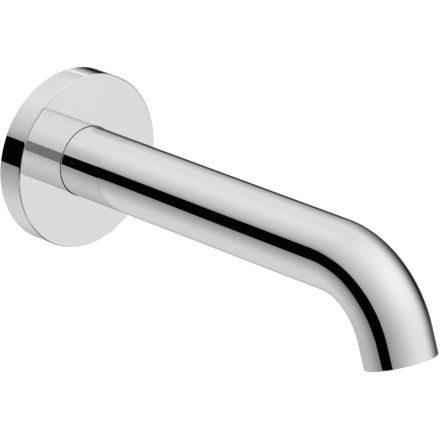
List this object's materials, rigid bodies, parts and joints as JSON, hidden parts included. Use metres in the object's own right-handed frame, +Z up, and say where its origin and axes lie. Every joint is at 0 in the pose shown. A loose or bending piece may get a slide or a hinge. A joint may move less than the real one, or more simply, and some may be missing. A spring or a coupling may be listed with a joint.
{
  "type": "bath spout",
  "caption": "Wall-mounted bath spout: a round chromed arm that bends down at its end, with a flat round rosette, a threaded wall nipple and a recessed aerator.",
  "frame": {"origin": "on the wall plane, on the axis of the wall thread", "axes": "+Z up, +Y into the wall along the wall thread, -Y along the arm into the room, X across"},
  "size_m": [0.07, 0.2123, 0.0718],
  "materials": {
    "chrome": "polished chrome plating on brass",
    "nipple_brass": "turned, bare",
    "seal_rubber": "matt black",
    "screw_steel": "bare stainless",
    "aerator_housing": "moulded, grey",
    "aerator_strainer": "moulded, white"
  },
  "bodies": {
    "root": {"spout_body": "chrome", "rosette": "chrome", "connection_nipple": "nipple_brass", "o_ring_front": "seal_rubber", "o_ring_rear": "seal_rubber", "grub_screw": "screw_steel", "aerator_housing": "aerator_housing", "aerator_strainer": "aerator_strainer", "aerator_gasket": "seal_rubber"}
  },
  "joints": []
}
